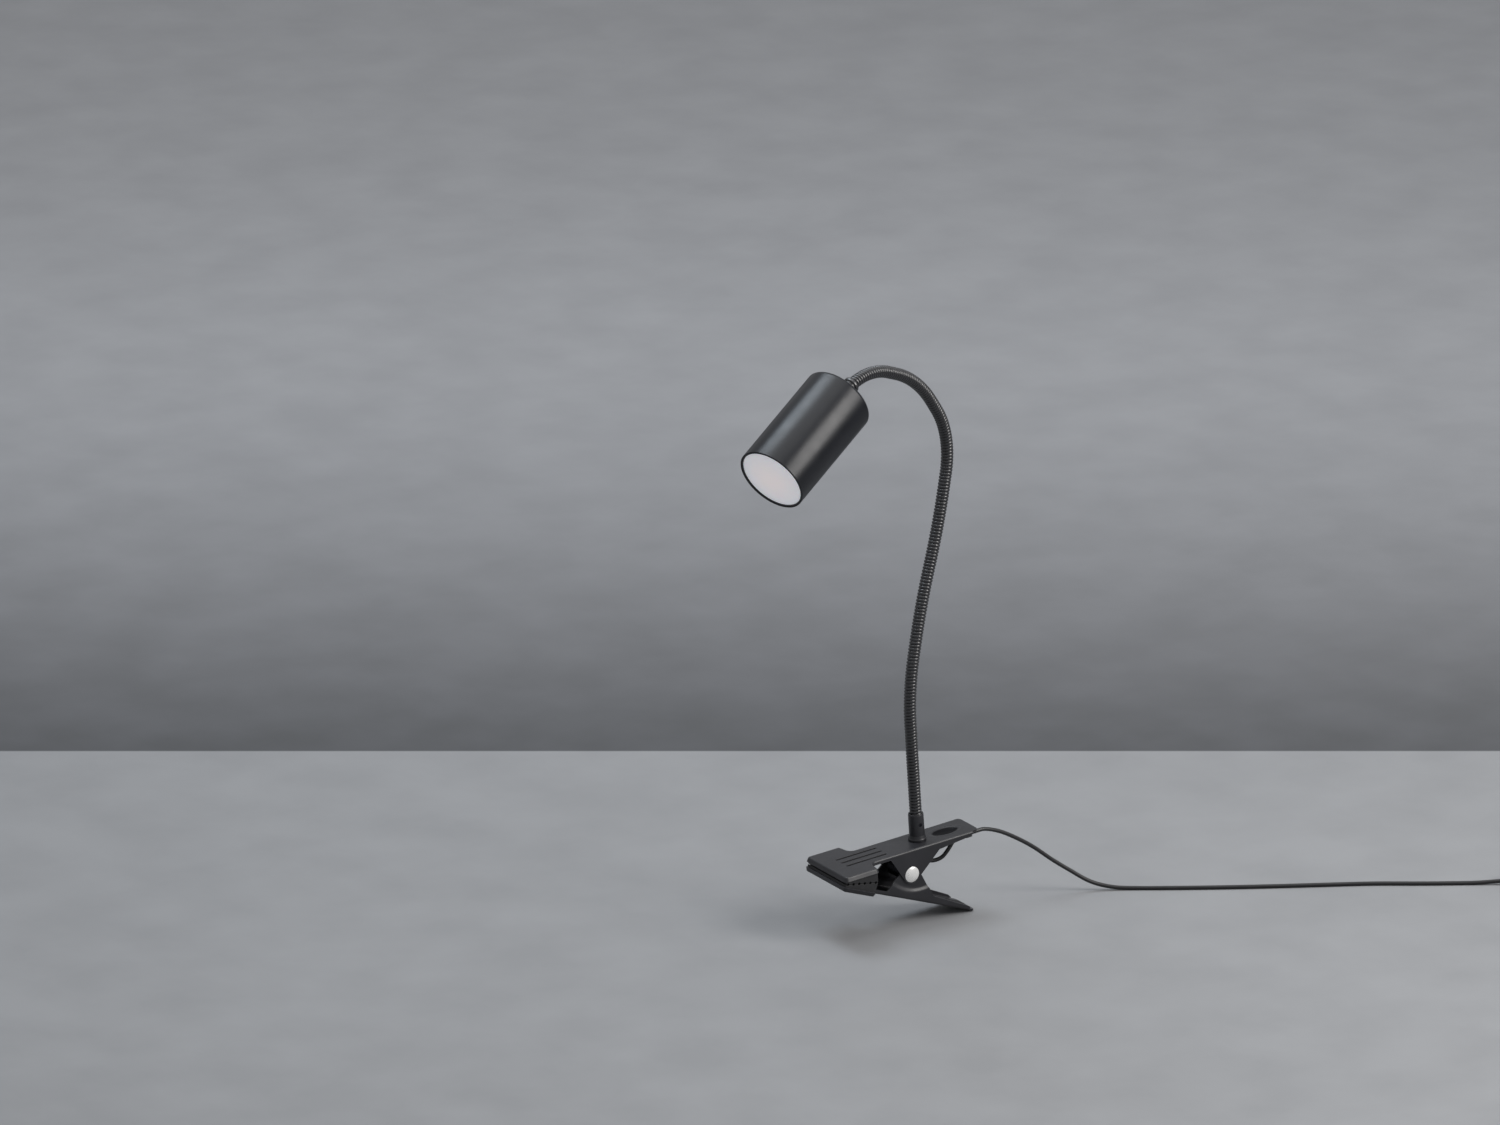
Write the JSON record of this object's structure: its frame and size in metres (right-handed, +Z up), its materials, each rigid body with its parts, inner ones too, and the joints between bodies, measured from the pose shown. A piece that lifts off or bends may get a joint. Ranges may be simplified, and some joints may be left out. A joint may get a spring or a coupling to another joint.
{
  "type": "clip-on reading lamp",
  "caption": "Black clip-on reading lamp: sprung sheet-steel clamp with padded jaws, ribbed gooseneck, cylindrical LED head with frosted lens, thin lead with rocker switch and low-voltage plug.",
  "frame": {"origin": "middle of the jaw grip, on the plane where the two pads meet, midway between the sides and 15 mm behind the jaw front", "axes": "+Z up as the lamp is held, +X from the jaw front towards the handles, -Y the side that the lead runs along"},
  "size_m": [0.678, 0.2515, 0.4445],
  "materials": {
    "black_steel": "satin black powder coat on pressed steel",
    "pad_rubber": "matt black moulded rubber",
    "rivet_nickel": "bright nickel-plated steel",
    "spring_black": "black oxide spring wire",
    "zinc_steel": "zinc-plated steel",
    "hose_black": "satin black coated steel strip",
    "shade_black": "satin black anodised aluminium",
    "bezel_black": "matt black moulded plastic",
    "diffuser_white": "frosted white translucent plastic",
    "reflector_white": "white moulded plastic",
    "board_white": "white solder mask",
    "led_yellow": "phosphor-coated light packages",
    "sink_aluminium": "plain cast aluminium",
    "board_green": "green solder mask",
    "parts_dark": "moulded component bodies",
    "wire_red": "red silicone insulation",
    "lead_black": "satin black flexible sheath",
    "clip_black": "matt black moulded plastic",
    "switch_black": "fine-textured black plastic",
    "rocker_grey": "smooth dark grey plastic",
    "contact_brass": "stamped brass",
    "shell_nickel": "nickel-plated steel",
    "tongue_white": "white insulator"
  },
  "bodies": {
    "clamp": {"upper_arm": "black_steel", "upper_pad": "pad_rubber", "pivot_pin": "rivet_nickel", "spring_sleeve": "zinc_steel", "torsion_spring": "spring_black", "socket": "black_steel", "set_screw": "zinc_steel", "socket_nipple": "zinc_steel", "socket_washer": "zinc_steel", "socket_nut": "zinc_steel", "hose_1": "hose_black", "wire_1": "wire_red", "inner_lead": "lead_black", "lead_clip": "clip_black", "lead_1": "lead_black", "lead_2": "lead_black", "lead_3": "lead_black", "lead_coil": "lead_black", "lead_tie": "clip_black", "switch_base": "switch_black", "switch_cover": "switch_black", "switch_screws": "zinc_steel", "switch_contacts": "contact_brass", "plug_grip": "clip_black", "plug_shell": "shell_nickel", "plug_tongue": "tongue_white"},
    "lower_jaw": {"lower_arm": "black_steel", "lower_pad": "pad_rubber", "spring_leg": "spring_black"},
    "neck_2": {"hose_2": "hose_black", "wire_2": "wire_red"},
    "neck_3": {"hose_3": "hose_black", "wire_3": "wire_red"},
    "neck_4": {"hose_4": "hose_black", "wire_4": "wire_red"},
    "neck_5": {"hose_5": "hose_black", "wire_5": "wire_red"},
    "neck_6": {"hose_6": "hose_black", "wire_6": "wire_red"},
    "head": {"hose_7": "hose_black", "wire_7": "wire_red", "head_nipple": "black_steel", "head_washer": "zinc_steel", "head_nut": "zinc_steel", "shade": "shade_black", "front_ring": "bezel_black", "diffuser": "diffuser_white", "reflector": "reflector_white", "led_board": "board_white", "led_chips": "led_yellow", "led_screws": "zinc_steel", "heat_sink": "sink_aluminium", "driver_board": "board_green", "driver_parts": "parts_dark", "driver_screws": "zinc_steel", "head_wires": "wire_red"},
    "rocker": {"switch_rocker": "rocker_grey"}
  },
  "joints": [
    {"name": "clamp_pivot", "type": "hinge", "parent": "clamp", "child": "lower_jaw", "pos_m": [0.04951, 0, -0.00696], "axis": [0, -1, 0], "range_deg": [0, 32], "stiffness_Nm_per_rad": 1, "springref_deg": -68.75},
    {"name": "neck_low", "type": "hinge", "parent": "clamp", "child": "neck_2", "pos_m": [0.05729, 0, 0.09684], "axis": [0.3182, -0.9478, 0.0222], "range_deg": [-15, 15]},
    {"name": "neck_side", "type": "hinge", "parent": "neck_2", "child": "neck_3", "pos_m": [0.06224, 0.00313, 0.15922], "axis": [-0.9207, -0.3033, 0.2454], "range_deg": [-15, 15]},
    {"name": "neck_low_2", "type": "hinge", "parent": "neck_3", "child": "neck_4", "pos_m": [0.07997, 0.01048, 0.21917], "axis": [0.3182, -0.9478, 0.0222], "range_deg": [-15, 15]},
    {"name": "neck_high", "type": "hinge", "parent": "neck_4", "child": "neck_5", "pos_m": [0.0977, 0.01784, 0.27912], "axis": [0.3182, -0.9478, 0.0222], "range_deg": [-15, 15]},
    {"name": "neck_high_2", "type": "hinge", "parent": "neck_5", "child": "neck_6", "pos_m": [0.08656, 0.0155, 0.33844], "axis": [0.3182, -0.9478, 0.0222], "range_deg": [-15, 15]},
    {"name": "neck_high_3", "type": "hinge", "parent": "neck_6", "child": "head", "pos_m": [0.04015, 0.00082, 0.37673], "axis": [0.3182, -0.9478, 0.0222], "range_deg": [-15, 15]},
    {"name": "rocker_press", "type": "hinge", "parent": "clamp", "child": "rocker", "pos_m": [0.48365, -0.19195, -0.0403], "axis": [0.5195, 0.8545, 0], "range_deg": [-12, 0]}
  ],
  "couplings": [
    {"joint": "neck_low_2", "follows": "neck_low", "ratio": 1},
    {"joint": "neck_high_2", "follows": "neck_high", "ratio": 1},
    {"joint": "neck_high_3", "follows": "neck_high", "ratio": 1}
  ]
}
